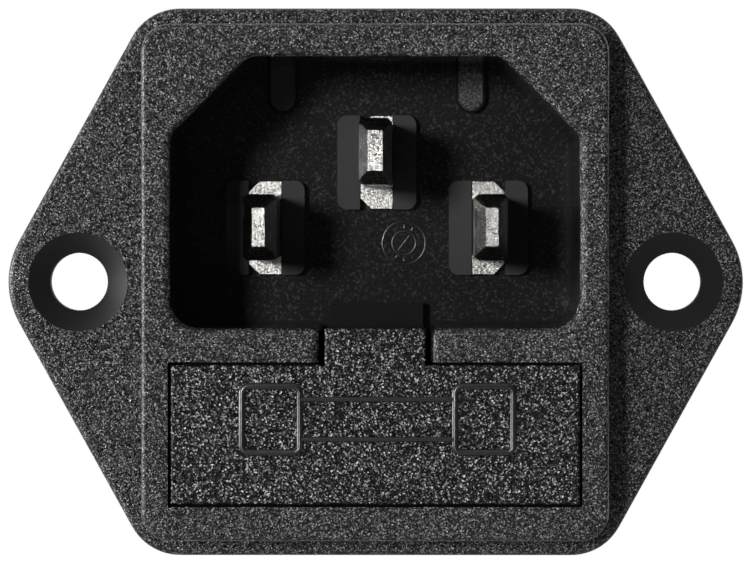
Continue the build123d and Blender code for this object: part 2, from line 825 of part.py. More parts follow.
# X capacitor, a film capacitor in a box on two feet
with BuildPart() as x_capacitor:
    with BuildSketch(upright(x_cap_y)):
        with Locations((x_cap_x, 0)):
            RectangleRounded(x_cap_t, x_cap_l, x_cap_r)
    extrude(amount=-x_cap_h)
    with BuildSketch(upright(x_cap_y)):
        for side in (-1, 1):
            with Locations((x_cap_x, side * (x_cap_l / 2 - x_cap_r - x_cap_foot / 2))):
                Rectangle(x_cap_t - 2 * x_cap_r, x_cap_foot)
    extrude(amount=x_cap_lift)
    with BuildSketch(upright(lead_end_y)):
        with Locations([(x_cap_x, s * x_cap_pitch / 2) for s in (-1, 1)]):
            RegularPolygon(lead_d / 2, lead_sides)
    extrude(amount=-(x_cap_y - lead_end_y))


# Y capacitors
def y_capacitor(side):
    """Disc capacitor on edge with two straight leads."""
    with BuildPart() as disc:
        with BuildSketch(side_on(y_cap_x - y_cap_t / 2)):
            with Locations((y_cap_y, side * y_cap_z)):
                Circle(y_cap_d / 2)
        extrude(amount=y_cap_t)
        chamfer(edges().filter_by(GeomType.CIRCLE), y_cap_edge)
        with BuildSketch(upright(lead_end_y)):
            for end in (-1, 1):
                with Locations((y_cap_x, side * y_cap_z + end * y_cap_pitch / 2)):
                    RegularPolygon(lead_d / 2, lead_sides)
        extrude(amount=-(y_cap_y - lead_end_y))
    return disc


y_capacitor_line = y_capacitor(-1)
y_capacitor_neutral = y_capacitor(1)

# Bleed resistor, a dog-bone body with both leads bent down to the board
with BuildPart() as bleed_resistor:
    with BuildSketch(Plane.XY.offset(resistor_z)):
        with Locations((resistor_x, resistor_y)):
            Rectangle(resistor_l, resistor_waist_d)
            for end in (-1, 1):
                with Locations((end * (resistor_l - resistor_end_l) / 2, 0)):
                    Rectangle(resistor_end_l, resistor_d)
            Rectangle(resistor_l, resistor_d / 2, align=(Align.CENTER, Align.MAX), mode=Mode.SUBTRACT)
    revolve(axis=Axis((0, resistor_y, resistor_z), (1, 0, 0)))
    for end in (-1, 1):
        lead_x = resistor_x + end * resistor_pitch / 2
        with BuildLine(Plane.XY.offset(resistor_z)) as lead_path:
            Polyline(
                (resistor_x + end * resistor_l / 4, resistor_y),
                (lead_x, resistor_y),
                (lead_x, lead_end_y),
            )
        with BuildSketch(side_on(resistor_x + end * resistor_l / 4)):
            with Locations((resistor_y, resistor_z)):
                RegularPolygon(lead_d / 2, lead_sides)
        sweep(path=lead_path.line, transition=Transition.RIGHT)

# Terminal plate, stepped to seat in the can's rear opening
with BuildPart() as terminal_plate:
    with BuildSketch(upright(can_inside_y)):
        with Locations((0, plate_z)):
            RectangleRounded(plate_w, plate_h, plate_corner_r)
    extrude(amount=plate_t)
    with BuildSketch(upright(can_inside_y)):
        with Locations((0, plate_z)):
            RectangleRounded(plate_hole_w - 2 * plate_gap, plate_hole_h - 2 * plate_gap, plate_corner_r)
    extrude(amount=-(can_t + plate_out))
    chamfer(faces().sort_by(Axis.Y)[-1].edges(), plate_out / 2)
    with BuildSketch(upright(can_inside_y - plate_t)):
        with Locations((-tab_x, plate_z), (tab_x, plate_z)):
            Rectangle(tab_t + 2 * plate_gap, tab_blade_w + 2 * plate_gap)
    extrude(amount=-(plate_t + can_t + plate_out), mode=Mode.SUBTRACT)


# Line and neutral tabs
def power_tab(side):
    """Flat stamping: a rear tab, a jog below the parts on the board and a leg to the board."""
    blade_top = plate_z + tab_blade_w / 2
    blade_bottom = plate_z - tab_blade_w / 2
    jog_y = can_inside_y - plate_t - tab_inner_l
    with BuildPart() as tab:
        with BuildSketch(side_on(side * tab_x - tab_t / 2)):
            with BuildLine():
                Polyline(
                    (tab_end_y, blade_bottom + tab_point),
                    (tab_end_y, blade_top - tab_point),
                    (tab_end_y - tab_point, blade_top),
                    (jog_y, blade_top),
                    (jog_y, leg_z + leg_w / 2),
                    (board_back_y, leg_z + leg_w / 2),
                    (board_back_y, leg_z + leg_tail_w / 2),
                    (lead_end_y, leg_z + leg_tail_w / 2),
                    (lead_end_y, leg_z - leg_tail_w / 2),
                    (board_back_y, leg_z - leg_tail_w / 2),
                    (board_back_y, leg_z - leg_w / 2),
                    (jog_y + tab_jog, leg_z - leg_w / 2),
                    (jog_y + tab_jog, blade_bottom),
                    (tab_end_y - tab_point, blade_bottom),
                    close=True,
                )
            make_face()
            with Locations((tab_end_y - tab_hole_in, plate_z)):
                Circle(tab_hole_d / 2, mode=Mode.SUBTRACT)
        extrude(amount=tab_t)
    return tab


line_tab = power_tab(-1)
neutral_tab = power_tab(1)

# Earth tab, an angle bracket riveted to the can's rear
foot_y = can_back_y + tab_t / 2
with BuildPart() as earth_tab:
    with BuildSketch(side_on(-tab_blade_w / 2)):
        with BuildLine():
            FilletPolyline(
                (foot_y, earth_tab_z - earth_foot_h),
                (foot_y, earth_tab_z),
                (tab_end_y, earth_tab_z),
                radius=earth_bend_r,
            )
        trace(line_width=tab_t)
    extrude(amount=tab_blade_w)
    tip_edges = faces().sort_by(Axis.Y)[-1].edges().filter_by(Axis.Z)
    chamfer(tip_edges, tab_point)
    with BuildSketch(Plane.XY.offset(earth_tab_z - tab_t)):
        with Locations((0, tab_end_y - tab_hole_in)):
            Circle(tab_hole_d / 2)
    extrude(amount=2 * tab_t, mode=Mode.SUBTRACT)
    with BuildSketch(upright(can_back_y)):
        with Locations((0, rivet_z)):
            Circle(rivet_d / 2 + rivet_gap)
    extrude(amount=-tab_t, mode=Mode.SUBTRACT)

# Earth strap, from the rivet along the top of the can to the board
strap_foot_y = can_inside_y - strap_t / 2
with BuildPart() as earth_strap:
    with BuildSketch(side_on(-strap_w / 2)):
        with BuildLine():
            FilletPolyline(
                (strap_foot_y, rivet_z - strap_end_below),
                (strap_foot_y, strap_z),
                (board_back_y, strap_z),
                radius=strap_bend_r,
            )
        trace(line_width=strap_t)
    extrude(amount=strap_w)
    with BuildSketch(upright(board_back_y)):
        with Locations((0, strap_z)):
            Rectangle(strap_tail_w, strap_t)
    extrude(amount=board_back_y - lead_end_y)
    with BuildSketch(upright(can_inside_y - strap_t)):
        with Locations((0, rivet_z)):
            Circle(rivet_d / 2 + rivet_gap)
    extrude(amount=-strap_t, mode=Mode.SUBTRACT)

# Earth rivet, with a coned head outside and a flat one inside
rivet_outer_y = can_back_y + tab_t
rivet_inner_y = can_inside_y - strap_t
with BuildPart() as earth_rivet:
    with BuildSketch(side_on(0)):
        with BuildLine():
            Polyline(
                (rivet_inner_y - rivet_tail_t, rivet_z),
                (rivet_inner_y - rivet_tail_t, rivet_z + rivet_head_d / 2),
                (rivet_inner_y, rivet_z + rivet_head_d / 2),
                (rivet_inner_y, rivet_z + rivet_d / 2),
                (rivet_outer_y, rivet_z + rivet_d / 2),
                (rivet_outer_y, rivet_z + rivet_head_d / 2),
                (rivet_outer_y + rivet_rim_t, rivet_z + rivet_head_d / 2),
                (rivet_outer_y + rivet_head_t, rivet_z + rivet_top_d / 2),
                (rivet_outer_y + rivet_head_t, rivet_z),
                close=True,
            )
        make_face()
    revolve(axis=Axis((0, 0, rivet_z), (0, 1, 0)))

pieces = {
    "inlet_housing": inlet_housing,
    "line_pin": line_pin,
    "neutral_pin": neutral_pin,
    "earth_pin": earth_pin,
    "fuse_drawer": fuse_drawer,
    "working_fuse_glass": working_fuse_glass,
    "working_fuse_caps": working_fuse_caps,
    "working_fuse_wire": working_fuse_wire,
    "spare_fuse_glass": spare_fuse_glass,
    "spare_fuse_caps": spare_fuse_caps,
    "spare_fuse_wire": spare_fuse_wire,
    "fuse_clip_left": fuse_clip_left,
    "fuse_clip_right": fuse_clip_right,
    "filter_can": filter_can,
    "insulating_sleeve": insulating_sleeve,
    "circuit_board": circuit_board,
    "choke_core": choke_core,
    "choke_winding_line": choke_winding_line,
    "choke_winding_neutral": choke_winding_neutral,
    "choke_holder": choke_holder,
    "choke_divider": choke_divider,
    "x_capacitor": x_capacitor,
    "y_capacitor_line": y_capacitor_line,
    "y_capacitor_neutral": y_capacitor_neutral,
    "bleed_resistor": bleed_resistor,
    "terminal_plate": terminal_plate,
    "line_tab": line_tab,
    "neutral_tab": neutral_tab,
    "earth_tab": earth_tab,
    "earth_strap": earth_strap,
    "earth_rivet": earth_rivet,
}

os.makedirs("parts", exist_ok=True)
for name, piece in pieces.items():
    piece.part.label = name
    export_step(piece.part, f"parts/{name}.step")
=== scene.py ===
"""Looks of a fused mains inlet with a filter can behind it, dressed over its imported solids."""
import json
import logging
import math
from dataclasses import dataclass
from enum import Enum
from typing import Any, Optional

import bmesh
import bpy
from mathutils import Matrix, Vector

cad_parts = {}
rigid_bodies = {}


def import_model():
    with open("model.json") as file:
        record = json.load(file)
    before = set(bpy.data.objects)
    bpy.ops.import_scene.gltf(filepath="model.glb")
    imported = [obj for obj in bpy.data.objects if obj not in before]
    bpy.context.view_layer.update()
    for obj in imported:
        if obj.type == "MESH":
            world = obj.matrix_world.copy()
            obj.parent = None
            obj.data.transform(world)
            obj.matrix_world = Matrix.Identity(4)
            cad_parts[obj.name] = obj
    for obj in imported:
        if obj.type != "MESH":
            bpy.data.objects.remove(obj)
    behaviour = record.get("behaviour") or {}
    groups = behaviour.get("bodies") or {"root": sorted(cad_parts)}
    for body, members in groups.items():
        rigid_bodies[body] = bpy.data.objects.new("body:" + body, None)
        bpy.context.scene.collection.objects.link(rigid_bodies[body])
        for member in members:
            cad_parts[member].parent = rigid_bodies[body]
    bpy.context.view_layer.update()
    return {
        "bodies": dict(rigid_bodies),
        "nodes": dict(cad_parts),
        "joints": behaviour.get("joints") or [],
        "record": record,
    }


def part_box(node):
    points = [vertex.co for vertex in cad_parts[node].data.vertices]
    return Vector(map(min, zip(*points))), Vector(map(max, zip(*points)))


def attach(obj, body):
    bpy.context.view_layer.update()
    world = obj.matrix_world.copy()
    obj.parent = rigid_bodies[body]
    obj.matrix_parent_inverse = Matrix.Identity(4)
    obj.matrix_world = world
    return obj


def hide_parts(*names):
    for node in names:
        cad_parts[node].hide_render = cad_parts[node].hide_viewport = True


LOG = logging.getLogger("mains_inlet")
MM = 0.001
Colour = tuple[float, float, float, float]


class Along(Enum):
    """Direction in which a strip was rolled or a cup was drawn."""

    WIDTH = (1.0, 0.06, 1.0)
    DEPTH = (1.0, 0.04, 1.0)
    HEIGHT = (1.0, 1.0, 0.06)
    NONE = (1.0, 1.0, 1.0)


class Zones(Enum):
    """Which parts of a moulding were polished in the mould, and so came out without grain."""

    NONE = "grained all over"
    INLET = "smooth cavity, bay and countersinks, matt bosses"
    DRAWER = "smooth behind the face"


def linear(code: str, alpha: float = 1.0) -> Colour:
    """Turn an sRGB hex colour into linear values.

    Args:
        code: six hex digits.
        alpha: opacity.

    Returns:
        Red, green, blue and alpha, linear.
    """
    parts = [int(code[i : i + 2], 16) / 255 for i in (0, 2, 4)]
    red, green, blue = (c / 12.92 if c <= 0.04045 else ((c + 0.055) / 1.055) ** 2.4 for c in parts)
    return (red, green, blue, alpha)


def add_node(
    tree: bpy.types.NodeTree,
    kind: str,
    settings: Optional[dict[str, Any]] = None,
    links: Optional[dict[Any, Any]] = None,
) -> bpy.types.Node:
    """Add a node with its settings and links.

    Args:
        tree: tree that gets the node.
        kind: the node's type name.
        settings: attributes of the node.
        links: for each input, by name or number, a value or the output that feeds it.

    Returns:
        The new node.
    """
    node = tree.nodes.new(kind)
    for name, value in (settings or {}).items():
        setattr(node, name, value)
    for key, value in (links or {}).items():
        if isinstance(value, bpy.types.NodeSocket):
            tree.links.new(value, node.inputs[key])
        else:
            node.inputs[key].default_value = value
    return node


def new_surface(name: str) -> tuple[bpy.types.Material, bpy.types.NodeTree, bpy.types.NodeSocket]:
    """Start a material with an empty tree and the part's own coordinates in millimetres.

    Args:
        name: name of the material.

    Returns:
        The material, its tree and the output that carries the coordinates.
    """
    material = bpy.data.materials.new(name)
    material.use_nodes = True
    tree = material.node_tree
    tree.nodes.clear()
    place = add_node(tree, "ShaderNodeTexCoord")
    scaled = add_node(
        tree, "ShaderNodeVectorMath", {"operation": "SCALE"}, {0: place.outputs["Object"], "Scale": 1 / MM}
    )
    return material, tree, scaled.outputs[0]


def inside_box(
    tree: bpy.types.NodeTree, place: bpy.types.NodeSocket, low: Vector, high: Vector, soft: float
) -> bpy.types.NodeSocket:
    """Mask of the points inside a box given in millimetres.

    Args:
        tree: tree that gets the nodes.
        place: output that carries the coordinates in millimetres.
        low: lowest corner.
        high: highest corner.
        soft: width of the soft border outside the box.

    Returns:
        An output that is 1 inside the box and 0 outside it.
    """
    middle = add_node(
        tree, "ShaderNodeVectorMath", {"operation": "SUBTRACT"}, {0: place, 1: tuple((low + high) / 2)}
    )
    size = add_node(tree, "ShaderNodeVectorMath", {"operation": "ABSOLUTE"}, {0: middle.outputs[0]})
    over = add_node(
        tree, "ShaderNodeVectorMath", {"operation": "SUBTRACT"}, {0: size.outputs[0], 1: tuple((high - low) / 2)}
    )
    axes = add_node(tree, "ShaderNodeSeparateXYZ", None, {0: over.outputs[0]})
    flat = add_node(tree, "ShaderNodeMath", {"operation": "MAXIMUM"}, {0: axes.outputs[0], 1: axes.outputs[2]})
    far = add_node(tree, "ShaderNodeMath", {"operation": "MAXIMUM"}, {0: flat.outputs[0], 1: axes.outputs[1]})
    mask = add_node(
        tree,
        "ShaderNodeMapRange",
        {"clamp": True},
        {0: far.outputs[0], 1: 0.0, 2: soft, 3: 1.0, 4: 0.0},
    )
    return mask.outputs[0]


def blend(
    tree: bpy.types.NodeTree, mask: bpy.types.NodeSocket, outside: Any, within: Any, colour: bool = False
) -> bpy.types.NodeSocket:
    """Mix two values or colours by a mask.

    Args:
        tree: tree that gets the node.
        mask: output with the mask.
        outside: what holds where the mask is 0.
        within: what holds where the mask is 1.
        colour: whether the two are colours.

    Returns:
        The output with the mixed value.
    """
    first, second, out = (6, 7, 2) if colour else (2, 3, 0)
    mix = add_node(
        tree,
        "ShaderNodeMix",
        {"data_type": "RGBA" if colour else "FLOAT"},
        {0: mask, first: outside, second: within},
    )
    return mix.outputs[out]


def close_surface(
    tree: bpy.types.NodeTree, shader: bpy.types.Node, output: str = "BSDF"
) -> None:
    """Join a shader to the tree's surface output.

    Args:
        tree: tree that gets the output node.
        shader: node with the finished shader.
        output: name of the shader's output.
    """
    add_node(tree, "ShaderNodeOutputMaterial", None, {"Surface": shader.outputs[output]})


@dataclass(frozen=True)
class MouldedPlastic:
    """Thermoplastic as it comes out of its mould, with an eroded grain, its glints painted into the colour, or a plain
    smooth skin.
    """

    name: str
    pit: str
    # The lighter colour of the few bright grain cells: painted glints.
    painted_glint: str
    smooth: str
    roughness: float = 0.48
    specular: float = 0.5
    grain: float = 0.1
    tilt: float = 0.42
    depth: float = 0.012
    polish: float = 0.11
    edge_tilt: float = 0.12
    # How rare the painted glints are: the power on each cell's random value.
    glint_rarity: float = 3.5
    zones: Zones = Zones.NONE

    def build(self) -> bpy.types.Material:
        """Build the material.

        Returns:
            The material with its grain and painted glints, polished edges, smooth zones and uneven sheen.
        """
        material, tree, place = new_surface(self.name)
        # Spark-eroded grain: overlapping craters of one size range, each facet turned its own way
        craters = add_node(
            tree, "ShaderNodeTexVoronoi", {"feature": "F1"}, {"Vector": place, "Scale": 1 / self.grain}
        )
        own = add_node(
            tree, "ShaderNodeTexWhiteNoise", {"noise_dimensions": "3D"}, {"Vector": craters.outputs["Position"]}
        )
        # Painted glints: the power leaves most cells near the dark colour and turns a few light, standing in for
        # sparkle off the facets
        glint_share = add_node(tree, "ShaderNodeMath", {"operation": "POWER"}, {0: own.outputs["Value"], 1: self.glint_rarity})
        # The melt's flow and the mould's wear leave the sheen uneven over centimetres
        flow = add_node(
            tree, "ShaderNodeTexNoise", None, {"Vector": place, "Scale": 0.16, "Detail": 3.0, "Roughness": 0.55}
        )
        cloud = add_node(
            tree, "ShaderNodeMapRange", None, {0: flow.outputs[0], 1: 0.3, 2: 0.7, 3: 0.9, 4: 1.1}
        )
        colour = blend(tree, glint_share.outputs[0], linear(self.pit), linear(self.painted_glint), colour=True)
        worn = self.edge_mask(tree, place)
        lean = blend(tree, worn, self.tilt, self.edge_tilt)
        rough = blend(tree, worn, self.roughness, 0.34)
        relief = craters.outputs["Distance"]
        if self.zones is not Zones.NONE:
            smooth = self.smooth_mask(tree, place)
            skin, matt = self.smooth_skin(tree, place)
            colour = blend(tree, smooth, colour, skin, colour=True)
            relief = blend(tree, smooth, relief, 0.3)
            lean = blend(tree, smooth, lean, 0.0)
            rough = blend(tree, smooth, rough, matt)
        shaded = add_node(
            tree, "ShaderNodeMix", {"data_type": "RGBA", "blend_type": "MULTIPLY"},
            {0: 1.0, 6: colour, 7: cloud.outputs[0]},
        )
        turn = add_node(
            tree, "ShaderNodeVectorMath", {"operation": "SUBTRACT"}, {0: craters.outputs["Color"], 1: (0.5, 0.5, 0.5)}
        )
        face = add_node(tree, "ShaderNodeNewGeometry")
        upright = add_node(
            tree, "ShaderNodeVectorMath", {"operation": "PROJECT"}, {0: turn.outputs[0], 1: face.outputs["Normal"]}
        )
        level = add_node(
            tree, "ShaderNodeVectorMath", {"operation": "SUBTRACT"}, {0: turn.outputs[0], 1: upright.outputs[0]}
        )
        reach = add_node(tree, "ShaderNodeMath", {"operation": "MULTIPLY"}, {0: lean, 1: 2.0})
        lever = add_node(
            tree, "ShaderNodeVectorMath", {"operation": "SCALE"}, {0: level.outputs[0], "Scale": reach.outputs[0]}
        )
        facet = add_node(
            tree, "ShaderNodeVectorMath", {"operation": "ADD"}, {0: face.outputs["Normal"], 1: lever.outputs[0]}
        )
        facing = add_node(tree, "ShaderNodeVectorMath", {"operation": "NORMALIZE"}, {0: facet.outputs[0]})
        bump = add_node(
            tree, "ShaderNodeBump", None,
            {"Strength": 1.0, "Distance": self.depth * MM, "Height": relief, "Normal": facing.outputs[0]},
        )
        shader = add_node(
            tree, "ShaderNodeBsdfPrincipled", None,
            {"Base Color": shaded.outputs[2], "Roughness": rough, "Specular IOR Level": self.specular,
             "IOR": 1.53, "Normal": bump.outputs[0]},
        )
        close_surface(tree, shader)
        return material

    def edge_mask(self, tree: bpy.types.NodeTree, place: bpy.types.NodeSocket) -> bpy.types.NodeSocket:
        """Mask of the rounded front edges, which wear smooth in the mould, except round the cavity.

        Args:
            tree: tree that gets the nodes.
            place: output with the coordinates in millimetres.

        Returns:
            The output with the mask.
        """
        face = add_node(tree, "ShaderNodeNewGeometry")
        axes = add_node(tree, "ShaderNodeSeparateXYZ", None, {0: face.outputs["Normal"]})
        square = add_node(tree, "ShaderNodeMath", {"operation": "ABSOLUTE"}, {0: axes.outputs[1]})
        turned = add_node(
            tree, "ShaderNodeMapRange", None, {0: square.outputs[0], 1: 0.999, 2: 0.985, 3: 0.0, 4: 1.0}
        )
        front = add_node(
            tree, "ShaderNodeMapRange", None, {0: square.outputs[0], 1: 0.1, 2: 0.25, 3: 0.0, 4: 1.0}
        )
        both = add_node(tree, "ShaderNodeMath", {"operation": "MULTIPLY"}, {0: turned.outputs[0], 1: front.outputs[0]})
        rim = inside_box(tree, place, Vector((-13.2, -7.3, -2.6)), Vector((13.2, -5.0, 14.2)), 0.1)
        grained = add_node(tree, "ShaderNodeMath", {"operation": "MULTIPLY"}, {0: both.outputs[0], 1: 0.65})
        return blend(tree, rim, both.outputs[0], grained.outputs[0])

    def smooth_mask(self, tree: bpy.types.NodeTree, place: bpy.types.NodeSocket) -> bpy.types.NodeSocket:
        """Mask of the parts that the mould left without grain.

        Args:
            tree: tree that gets the nodes.
            place: output with the coordinates in millimetres.

        Returns:
            The output with the mask.
        """
        if self.zones is Zones.DRAWER:
            return inside_box(tree, place, Vector((-13, -6.94, -20)), Vector((13, 12, 14)), 0.03)
        cavity = inside_box(tree, place, Vector((-12.62, -6.7, -13.5)), Vector((12.62, 12, 13.87)), 0.1)
        pad = inside_box(tree, place, Vector((4.8, 8.8, 9.0)), Vector((7.2, 8.95, 13.8)), 0.05)
        cavity = blend(tree, pad, cavity, 0.45)
        both = add_node(tree, "ShaderNodeMath", {"operation": "MAXIMUM"}, {0: cavity, 1: self.sink_mask(tree, place)})
        return both.outputs[0]

    def sink_mask(self, tree: bpy.types.NodeTree, place: bpy.types.NodeSocket) -> bpy.types.NodeSocket:
        """Mask of the two countersunk screw holes.

        Args:
            tree: tree that gets the nodes.
            place: output with the coordinates in millimetres.

        Returns:
            The output with the mask.
        """
        mask: Any = 0.0
        for side in (-1, 1):
            shifted = add_node(
                tree, "ShaderNodeVectorMath", {"operation": "SUBTRACT"}, {0: place, 1: (side * 18.0, 0.0, 0.0)}
            )
            across = add_node(
                tree, "ShaderNodeVectorMath", {"operation": "MULTIPLY"}, {0: shifted.outputs[0], 1: (1.0, 0.0, 1.0)}
            )
            radius = add_node(tree, "ShaderNodeVectorMath", {"operation": "LENGTH"}, {0: across.outputs[0]})
            sink = add_node(
                tree, "ShaderNodeMapRange", None, {0: radius.outputs["Value"], 1: 2.97, 2: 3.03, 3: 1.0, 4: 0.0}
            )
            both = add_node(tree, "ShaderNodeMath", {"operation": "MAXIMUM"}, {0: mask, 1: sink.outputs[0]})
            mask = both.outputs[0]
        return mask

    def smooth_skin(
        self, tree: bpy.types.NodeTree, place: bpy.types.NodeSocket
    ) -> tuple[bpy.types.NodeSocket, bpy.types.NodeSocket]:
        """Colour and roughness of the smooth parts, with their matt bosses, faint dull patches and countersinks
        darkened by painted shade.

        Args:
            tree: tree that gets the nodes.
            place: output with the coordinates in millimetres.

        Returns:
            The outputs with the colour and the roughness.
        """
        bosses = inside_box(tree, place, Vector((-10, 8.84, -2)), Vector((10, 8.96, 13.4)), 0.04)
        floor = inside_box(tree, place, Vector((-12, 9.8, -2.5)), Vector((12, 9.95, 13.4)), 0.05)
        dull = add_node(
            tree, "ShaderNodeTexNoise", None, {"Vector": place, "Scale": 0.5, "Detail": 4.0, "Roughness": 0.6}
        )
        fine = add_node(
            tree, "ShaderNodeTexNoise", None, {"Vector": place, "Scale": 6.0, "Detail": 2.0, "Roughness": 0.6}
        )
        fleck = add_node(
            tree, "ShaderNodeMapRange", {"interpolation_type": "SMOOTHSTEP"},
            {0: fine.outputs[0], 1: 0.5, 2: 0.75, 3: 0.0, 4: 1.0},
        )
        patch = add_node(tree, "ShaderNodeMath", {"operation": "MULTIPLY"}, {0: fleck.outputs[0], 1: dull.outputs[0]})
        marked = add_node(tree, "ShaderNodeMath", {"operation": "MULTIPLY"}, {0: patch.outputs[0], 1: floor})
        plain = blend(tree, marked.outputs[0], linear(self.smooth), linear("4C4C4E"), colour=True)
        colour = blend(tree, bosses, plain, linear("2C2C2D"), colour=True)
        rough = blend(tree, bosses, self.polish, 0.75)
        # Painted shade: the countersinks get a darker colour than the rest of the smooth skin
        sunk = self.sink_mask(tree, place)
        return blend(tree, sunk, colour, linear("121213"), colour=True), blend(tree, sunk, rough, 0.64)


@dataclass(frozen=True)
class BrightMetal:
    """Plated, rolled or drawn metal with the fine lines and pits of its making."""

    name: str
    colour: str
    stain: str
    roughness: float
    along: Along = Along.NONE
    line: float = 0.08
    depth: float = 0.002
    pits: float = 0.0
    blotch: float = 2.5

    def build(self) -> bpy.types.Material:
        """Build the material.

        Returns:
            The material with its lines, pits and uneven tarnish.
        """
        material, tree, place = new_surface(self.name)
        stretched = add_node(
            tree, "ShaderNodeVectorMath", {"operation": "MULTIPLY"}, {0: place, 1: self.along.value}
        )
        lines = add_node(
            tree, "ShaderNodeTexNoise", None,
            {"Vector": stretched.outputs[0], "Scale": 1 / self.line, "Detail": 3.0, "Roughness": 0.65},
        )
        patches = add_node(
            tree, "ShaderNodeTexNoise", None,
            {"Vector": place, "Scale": 1 / self.blotch, "Detail": 5.0, "Roughness": 0.6},
        )
        tarnish = add_node(
            tree, "ShaderNodeMapRange", {"interpolation_type": "SMOOTHSTEP"},
            {0: patches.outputs[0], 1: 0.42, 2: 0.72, 3: 0.0, 4: 0.55},
        )
        cells = add_node(
            tree, "ShaderNodeTexNoise", None,
            {"Vector": place, "Scale": 9.0, "Detail": 3.0, "Roughness": 0.7, "Distortion": 0.4},
        )
        pitted = add_node(
            tree, "ShaderNodeMapRange", {"interpolation_type": "SMOOTHSTEP"},
            {0: cells.outputs[0], 1: 0.515, 2: 0.55, 3: 0.0, 4: self.pits},
        )
        clean = blend(tree, tarnish.outputs[0], linear(self.colour), linear(self.stain), colour=True)
        colour = blend(tree, pitted.outputs[0], clean, linear("1E1D1B"), colour=True)
        rough = add_node(
            tree, "ShaderNodeMapRange", None,
            {0: lines.outputs[0], 1: 0.3, 2: 0.7, 3: self.roughness * 0.8, 4: self.roughness * 1.3},
        )
        sunk = add_node(tree, "ShaderNodeMath", {"operation": "SUBTRACT"}, {0: lines.outputs[0], 1: pitted.outputs[0]})
        bump = add_node(
            tree, "ShaderNodeBump", None, {"Strength": 1.0, "Distance": self.depth * MM, "Height": sunk.outputs[0]}
        )
        shader = add_node(
            tree, "ShaderNodeBsdfPrincipled", None,
            {"Base Color": colour, "Metallic": 1.0, "Roughness": rough.outputs[0], "Normal": bump.outputs[0]},
        )
        close_surface(tree, shader)
        return material


@dataclass(frozen=True)
class CoatedPart:
    """Dipped, lacquered, cast or laminated electrical part with its own mottle and skin."""

    name: str
    colour: str
    mottle: str
    roughness: float
    scale: float = 1.2
    depth: float = 0.01
    coat: float = 0.0
    weave: float = 0.0
    clear: float = 0.0

    def build(self) -> bpy.types.Material:
        """Build the material.

        Returns:
            The material with its mottle, weave or orange-peel skin.
        """
        material, tree, place = new_surface(self.name)
        clouds = add_node(
            tree, "ShaderNodeTexNoise", None,
            {"Vector": place, "Scale": 1 / self.scale, "Detail": 4.0, "Roughness": 0.6},
        )
        spread = add_node(
            tree, "ShaderNodeMapRange", {"interpolation_type": "SMOOTHSTEP"},
            {0: clouds.outputs[0], 1: 0.35, 2: 0.7, 3: 0.0, 4: 1.0},
        )
        colour = blend(tree, spread.outputs[0], linear(self.colour), linear(self.mottle), colour=True)
        relief = clouds.outputs[0]
        if self.weave > 0:
            # Glass cloth: two sets of threads seen through the resin
            warp = add_node(
                tree, "ShaderNodeTexWave", {"bands_direction": "X"},
                {"Vector": place, "Scale": 0.314 / self.weave, "Distortion": 0.4},
            )
            weft = add_node(
                tree, "ShaderNodeTexWave", {"bands_direction": "Z"},
                {"Vector": place, "Scale": 0.314 / self.weave, "Distortion": 0.4},
            )
            cloth = add_node(tree, "ShaderNodeMath", {"operation": "MULTIPLY"}, {0: warp.outputs[1], 1: weft.outputs[1]})
            relief = cloth.outputs[0]
            tint = add_node(tree, "ShaderNodeMapRange", None, {0: relief, 1: 0.0, 2: 1.0, 3: 0.8, 4: 1.1})
            woven = add_node(
                tree, "ShaderNodeMix", {"data_type": "RGBA", "blend_type": "MULTIPLY"},
                {0: 1.0, 6: colour, 7: tint.outputs[0]},
            )
            colour = woven.outputs[2]
        bump = add_node(
            tree, "ShaderNodeBump", None, {"Strength": 1.0, "Distance": self.depth * MM, "Height": relief}
        )
        shader = add_node(
            tree, "ShaderNodeBsdfPrincipled", None,
            {"Base Color": colour, "Roughness": self.roughness, "IOR": 1.55, "Coat Weight": self.coat,
             "Transmission Weight": self.clear, "Normal": bump.outputs[0]},
        )
        close_surface(tree, shader)
        return material


@dataclass(frozen=True)
class TubeGlass:
    """Drawn soda-lime tube of a cartridge fuse: clear, with faint draw lines and a little haze."""

    name: str = "drawn_glass_tube"
    tint: str = "F1F6F4"
    roughness: float = 0.03

    def build(self) -> bpy.types.Material:
        """Build the material.

        Returns:
            The clear glass.
        """
        material, tree, place = new_surface(self.name)
        drawn = add_node(
            tree, "ShaderNodeVectorMath", {"operation": "MULTIPLY"}, {0: place, 1: (0.05, 1.0, 1.0)}
        )
        lines = add_node(
            tree, "ShaderNodeTexNoise", None, {"Vector": drawn.outputs[0], "Scale": 2.5, "Detail": 2.0}
        )
        bump = add_node(
            tree, "ShaderNodeBump", None, {"Strength": 0.5, "Distance": 0.004 * MM, "Height": lines.outputs[0]}
        )
        shader = add_node(
            tree, "ShaderNodeBsdfPrincipled", None,
            {"Base Color": linear(self.tint), "Roughness": self.roughness, "IOR": 1.52,
             "Transmission Weight": 1.0, "Normal": bump.outputs[0]},
        )
        close_surface(tree, shader)
        return material


def dress(frame: dict[str, Any], nodes: tuple[str, ...], material: bpy.types.Material) -> None:
    """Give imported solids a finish.

    Args:
        frame: the loaded frame.
        nodes: names of the solids.
        material: the finish.
    """
    for name in nodes:
        slots = frame["nodes"][name].data.materials
        slots.clear()
        slots.append(material)


def link_mesh(name: str, mesh: bmesh.types.BMesh) -> bpy.types.Object:
    """Put a built mesh into the scene.

    Args:
        name: name of the object.
        mesh: its mesh, in metres in the part's frame. It is freed.

    Returns:
        The new object.
    """
    data = bpy.data.meshes.new(name)
    mesh.to_mesh(data)
    mesh.free()
    obj = bpy.data.objects.new(name, data)
    bpy.context.scene.collection.objects.link(obj)
    return obj


